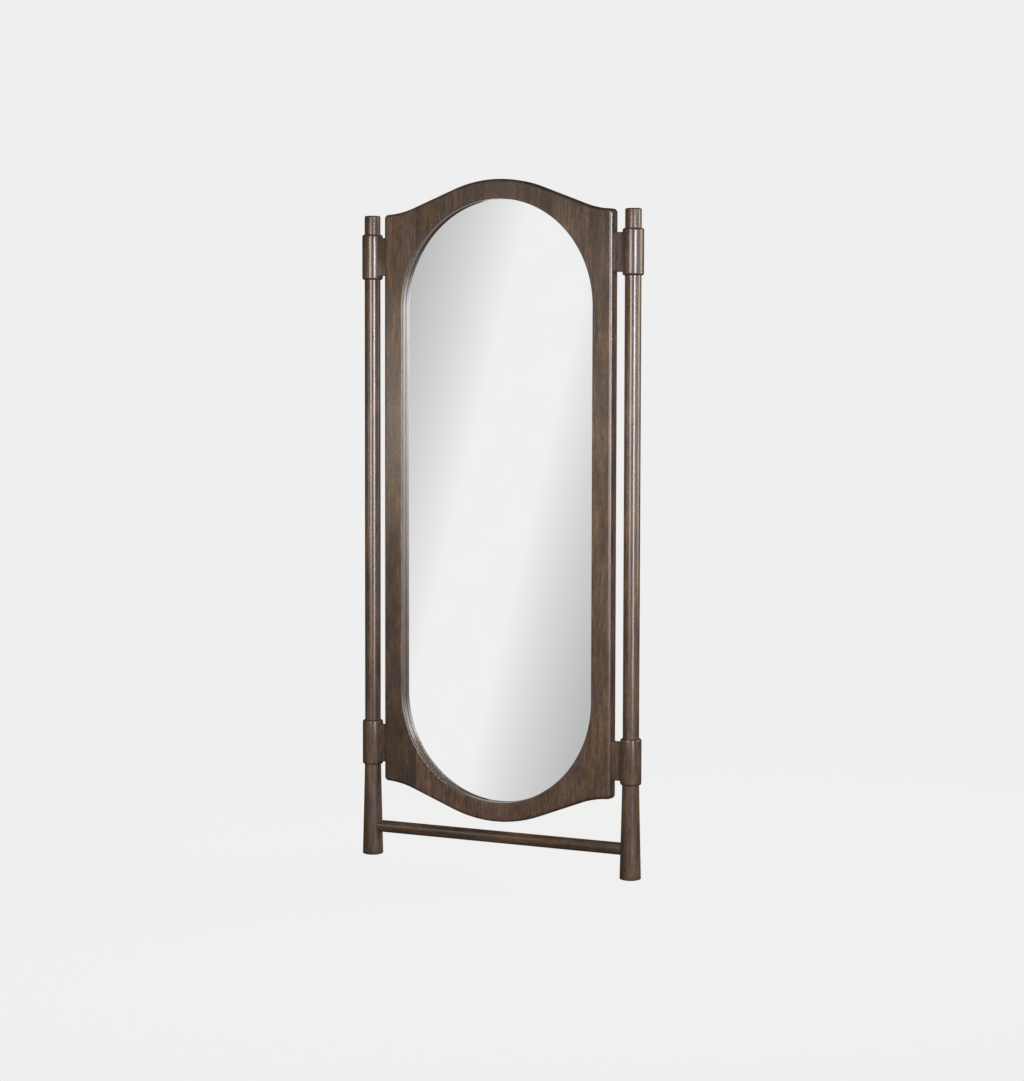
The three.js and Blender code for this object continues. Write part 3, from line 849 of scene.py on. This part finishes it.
def stadium_plate(name, half_width, front_y, back_y, ease):
    """A stadium-shaped plate with eased edges."""
    verts = []
    levels = [(front_y, ease), (front_y + ease, 0.0), (back_y - ease, 0.0), (back_y, ease)]
    for y, inset in levels:
        radius = half_width - inset
        upper = arc((0, MIDDLE_Z + ARC_RISE), radius, 0, math.pi, HALF_CIRCLE_STEPS)
        lower = arc((0, MIDDLE_Z - ARC_RISE), radius, math.pi, math.tau, HALF_CIRCLE_STEPS)
        verts += [(x, y, z) for x, z in upper + lower]
    return make_object(name, verts, tube_faces(len(levels), len(verts) // len(levels)))


def make_glass():
    """The mirror's plate. Its front stands back by the depth at which its silvering is seen."""
    front_y, back_y = span("mirror_glass", 1)
    plate = stadium_plate("mirror_glass", GLASS_HALF_WIDTH, front_y + SILVER_DEPTH, back_y, GLASS_EASE)
    return finish_piece(plate, MIRROR, ["mirror_glass"])


def make_back_board(screws):
    """The board that closes the panel's back, with its countersunk holes."""
    front_y, back_y = span("back_board", 1)
    plate = stadium_plate("back_board", BOARD_HALF_WIDTH, front_y, back_y, BOARD_EASE)
    board = cut(plate, [countersink(screw) for screw in screws])
    return finish_piece(board, FIBREBOARD, ["back_board"])


# ------------------------------------------------------------------ the object


def build_object():
    """Makes every piece and returns the mirror's glass and the boards around it.

    The block screws and dowels, which no view shows, keep their CAD shape. No piece made here has a
    hole for them, or for the part of the other screws that is past the countersink, so they overlap.
    """
    names = sorted(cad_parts)
    board_screws = [n for n in names if n.startswith("back_board_screw")]
    collar_screws = [n for n in names if n.endswith("collar_screw")]
    boards = []
    for side in SIDES:
        make_post(side)
        make_pad(side)
        boards.append(make_stile(side))
        for level in LEVELS:
            make_collar(level, side)
            make_block(level, side)
    for name in names:
        if "_stave_" in name:
            boards.append(make_stave(name))
        elif "_block_screw_" in name:
            paint(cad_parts[name], STEEL)
        elif "_dowel_" in name:
            paint(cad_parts[name], BEECH)
    make_stretcher()
    make_back_board(board_screws)
    for name in board_screws + collar_screws:
        make_screw(name)
    return make_glass(), boards


# ------------------------------------------------------------------ studio

WHITE = (1, 1, 1, 1)
PAPER = 0.863  # the brightness of the pale surroundings, as the camera sees them
ROOM_LIGHT = 0.06  # the dark studio around the lamps, as the wood sees it
BACKDROP_RADIUS = 60.0
DOME_REACH = 0.499 * math.pi  # almost up to the pole, and down to the other
DOME_ROWS = 32
DOME_SIDES = 64
FLOOR_HOLE = 0.01
FLOOR_RADIUS = 2.4
FLOOR_FADE = 1.2
FLOOR_MATT = 0.030
FLOOR_GLOW = 0.848

KEY_PLACE = (0.1, -2.6, 2.7)
KEY_TARGET = (0.05, 0.0, 1.05)
KEY_SIZE = 0.5
KEY_POWER = 2.5
KEY_COLOUR = (1.0, 0.96, 0.90)
KEY_SPREAD = math.radians(30)
WARM = (1.0, 0.93, 0.80)
COOL = (0.93, 0.90, 1.0)

# What the mirror shows: a slanting bright band, dimmer to both sides of it and brighter again far
# from it. Distances from the band are in units of the distance ahead.
SURROUND_RADIUS = 20.0
BAND_SLANT = 0.24
BAND_CENTRE = -0.0094
BAND_EDGES = [(0.0, 0.863), (0.0141, 0.863), (0.0325, 0.660), (0.0510, 0.495), (0.0671, 0.420)]
FAR_START, FAR_END = 0.12, 1.0
FAR_LIGHT = 0.40
MIRROR_TINT = 0.954

CAMERA_PLACE = Vector((3.650, -6.613, 1.384))
CAMERA_YAW = math.radians(28.62)
CAMERA_PITCH = math.radians(3.532)
CAMERA_ROLL = math.radians(0.132)
FOCAL_LENGTH = 2.5079  # times the picture's height
SENSOR = 36.0


def camera_axes():
    """The camera's right, up and forward directions."""
    forward = Vector((
        -math.sin(CAMERA_YAW) * math.cos(CAMERA_PITCH),
        math.cos(CAMERA_YAW) * math.cos(CAMERA_PITCH),
        -math.sin(CAMERA_PITCH),
    ))
    level = Vector((math.cos(CAMERA_YAW), math.sin(CAMERA_YAW), 0))
    up = level.cross(forward)
    right = level * math.cos(CAMERA_ROLL) + up * math.sin(CAMERA_ROLL)
    return right, up * math.cos(CAMERA_ROLL) - level * math.sin(CAMERA_ROLL), forward


def make_camera():
    right, up, forward = camera_axes()
    data = bpy.data.cameras.new("camera")
    data.sensor_width = SENSOR
    data.lens = FOCAL_LENGTH * SENSOR
    data.clip_end = 2 * BACKDROP_RADIUS
    camera = bpy.data.objects.new("camera", data)
    turn = Matrix((right, up, -forward)).transposed().to_4x4()
    camera.matrix_world = Matrix.Translation(CAMERA_PLACE) @ turn
    bpy.context.scene.collection.objects.link(camera)
    bpy.context.scene.camera = camera


def stage_material(obj, name):
    """An empty node tree for a stage piece: (nodes, the socket that its surface goes to)."""
    material = bpy.data.materials.new(name)
    material.use_nodes = True
    material.node_tree.nodes.clear()
    obj.data.materials.append(material)
    n = Nodes(material.node_tree)
    return n, n.add("ShaderNodeOutputMaterial").inputs["Surface"]


def show_to(obj, *kinds):
    """Only these kinds of ray meet a stage piece."""
    for kind in ("camera", "diffuse", "glossy", "transmission", "volume_scatter", "shadow"):
        setattr(obj, f"visible_{kind}", kind in kinds)


def clear_glow(n, surface, colour, strength):
    """A surface that glows and lets everything behind it through."""
    both = n.tree.nodes.new("ShaderNodeAddShader")
    n.feed(both.inputs[0], n.add("ShaderNodeEmission", Color=(*colour, 1), Strength=strength).outputs[0])
    n.feed(both.inputs[1], n.add("ShaderNodeBsdfTransparent").outputs[0])
    n.feed(surface, both.outputs[0])


def light_link(light, state, *pieces):
    """INCLUDE: the light reaches only these pieces. EXCLUDE: it reaches everything else."""
    receivers = bpy.data.collections.new(f"{light.name}_receivers")
    for piece in pieces:
        receivers.objects.link(piece)
    for entry in receivers.collection_objects:
        entry.light_linking.link_state = state
    light.light_linking.receiver_collection = receivers


def make_dome(name, radius):
    return turned(name, arc((0, 0), radius, -DOME_REACH, DOME_REACH, DOME_ROWS), sides=DOME_SIDES)


def make_backdrop():
    """The pale surroundings that the camera sees, and nothing else does."""
    dome = make_dome("backdrop", BACKDROP_RADIUS)
    n, surface = stage_material(dome, "backdrop_paper")
    n.feed(surface, n.add("ShaderNodeEmission", Color=WHITE, Strength=PAPER).outputs[0])
    show_to(dome, "camera")


def make_floor():
    """A pale sheet that takes only a faint shadow and fades into the surroundings."""
    floor = turned("floor", [(FLOOR_HOLE, 0.0), (FLOOR_RADIUS, 0.0)])
    n, surface = stage_material(floor, "floor_paper")
    place = n.add("ShaderNodeTexCoord").outputs["Object"]
    away = n.add("ShaderNodeVectorMath", {"operation": "LENGTH"})
    n.feed(away.inputs[0], place)
    cover = n.remap(away.outputs["Value"], FLOOR_RADIUS - FLOOR_FADE, FLOOR_RADIUS, 1.0, 0.0)
    glow = n.add("ShaderNodeEmission", Color=WHITE, Strength=FLOOR_GLOW)
    matt = n.add("ShaderNodeBsdfDiffuse", Color=(FLOOR_MATT, FLOOR_MATT, FLOOR_MATT, 1))
    paper = n.tree.nodes.new("ShaderNodeAddShader")
    n.feed(paper.inputs[0], glow.outputs[0])
    n.feed(paper.inputs[1], matt.outputs[0])
    clear = n.add("ShaderNodeBsdfTransparent")
    edge = n.tree.nodes.new("ShaderNodeMixShader")
    n.feed(edge.inputs[0], cover)
    n.feed(edge.inputs[1], clear.outputs[0])
    n.feed(edge.inputs[2], paper.outputs[0])
    n.feed(surface, edge.outputs[0])
    show_to(floor, "camera")


def aim(place, target):
    """Where a lamp stands, turned so that its -Z faces the target and its Y is up."""
    back = (Vector(place) - Vector(target)).normalized()
    across = UP.cross(back).normalized()
    turn = Matrix((across, back.cross(across), back)).transposed().to_4x4()
    return Matrix.Translation(place) @ turn


def make_softbox(name, place, size, radiance, colour, rise, fall=None, rays=("diffuse", "glossy")):
    """An upright softbox facing the stand's middle. Its light rises, and may fall, between two heights."""
    x, y = size[0] / 2, size[1] / 2
    box = make_object(name, [(-x, -y, 0), (x, -y, 0), (x, y, 0), (-x, y, 0)], [(0, 1, 2, 3)])
    box.matrix_world = aim(place, (0, 0, place[2]))
    n, surface = stage_material(box, name)
    local = n.add("ShaderNodeSeparateXYZ", Vector=n.add("ShaderNodeTexCoord").outputs["Object"])
    strength = n.remap(local.outputs["Y"], rise[0] - place[2], rise[1] - place[2], 0.0, radiance)
    if fall:
        left = n.remap(local.outputs["Y"], fall[0] - place[2], fall[1] - place[2], 1.0, 0.0)
        strength = n.math("MULTIPLY", strength, left)
    clear_glow(n, surface, colour, strength)
    show_to(box, *rays)
    return box


def make_softboxes(mirror, boards):
    """The lights that shape the wood. One strip lights only the panel, for the opening's edge."""
    boxes = [
        make_softbox("front_box", (0.15, -6.0, 1.4), (2.4, 2.6), 9.4, WARM, (-0.2, 1.5)),
        make_softbox("right_box", (4.6, -3.6, 1.22), (1.75, 2.76), 22.5, COOL, (-0.49, 1.85)),
        make_softbox("side_card", (2.9, 0.0, 1.4), (2.4, 1.8), 1.2, WARM, (0.5, 1.1)),
        make_softbox("rear_box", (2.76, 1.41, 1.5), (1.2, 2.0), 5.0, WARM, (0.45, 1.1)),
        make_softbox("left_card", (-1.70, -2.2, 1.25), (1.0, 1.1), 2.0, WARM, (0.7, 1.1), (1.3, 1.8)),
        make_softbox("back_box", (1.9, 3.0, 3.0), (2.4, 1.8), 17.0, WARM, (2.1, 2.6), rays=["diffuse"]),
    ]
    for box in boxes:
        light_link(box, "EXCLUDE", mirror)
    strip = make_softbox("reveal_strip", (1.8, -3.4, 1.4), (0.75, 2.6), 6.5, COOL, (0.3, 1.8))
    light_link(strip, "INCLUDE", mirror, *boards)


def make_key_lamp(mirror):
    """The high lamp in front, with a grid that keeps its light on the panel's upper half."""
    data = bpy.data.lights.new("key", "AREA")
    data.shape = "RECTANGLE"
    data.size = KEY_SIZE
    data.size_y = KEY_SIZE
    data.energy = KEY_POWER
    data.color = KEY_COLOUR
    data.spread = KEY_SPREAD
    lamp = bpy.data.objects.new("key", data)
    lamp.matrix_world = aim(KEY_PLACE, KEY_TARGET)
    lamp.visible_camera = False
    bpy.context.scene.collection.objects.link(lamp)
    light_link(lamp, "EXCLUDE", mirror)


def make_surround(mirror):
    """The gradient that the mirror reflects, which lights nothing else."""
    dome = make_dome("surround", SURROUND_RADIUS)
    n, surface = stage_material(dome, "surround_gradient")
    right, up, forward = (Vector((v.x, -v.y, v.z)) for v in camera_axes())
    eye = Vector((CAMERA_PLACE.x, 2 * span("mirror_glass", 1)[0] - CAMERA_PLACE.y, CAMERA_PLACE.z))
    direction = n.vector("SUBTRACT", n.add("ShaderNodeTexCoord").outputs["Object"], tuple(eye))
    ahead = n.vector("DOT_PRODUCT", direction, tuple(forward))
    slanted = n.vector("DOT_PRODUCT", direction, tuple(right - up * BAND_SLANT))
    across = n.math("DIVIDE", slanted, n.math("MAXIMUM", ahead, 0.001))
    off = n.math("ABSOLUTE", n.math("SUBTRACT", across, BAND_CENTRE))
    widest = BAND_EDGES[-1][0]
    level = n.ramp(n.math("DIVIDE", off, widest), [(edge / widest, value) for edge, value in BAND_EDGES])
    level = n.math("ADD", level, n.remap(off, FAR_START, FAR_END, 0.0, FAR_LIGHT))
    clear_glow(n, surface, (1, 1, 1), n.math("MULTIPLY_ADD", level, 1 / MIRROR_TINT, -ROOM_LIGHT))
    show_to(dome, "glossy")
    light_link(dome, "INCLUDE", mirror)


def make_world():
    world = bpy.data.worlds.new("studio")
    bpy.context.scene.world = world
    world.use_nodes = True
    world.node_tree.nodes.clear()
    n = Nodes(world.node_tree)
    glow = n.add("ShaderNodeBackground", Color=WHITE, Strength=ROOM_LIGHT)
    n.feed(n.add("ShaderNodeOutputWorld").inputs["Surface"], glow.outputs[0])


make_camera()
mirror, boards = build_object()
make_backdrop()
make_floor()
make_world()
make_surround(mirror)
make_key_lamp(mirror)
make_softboxes(mirror, boards)
bpy.context.scene.view_settings.view_transform = "Standard"
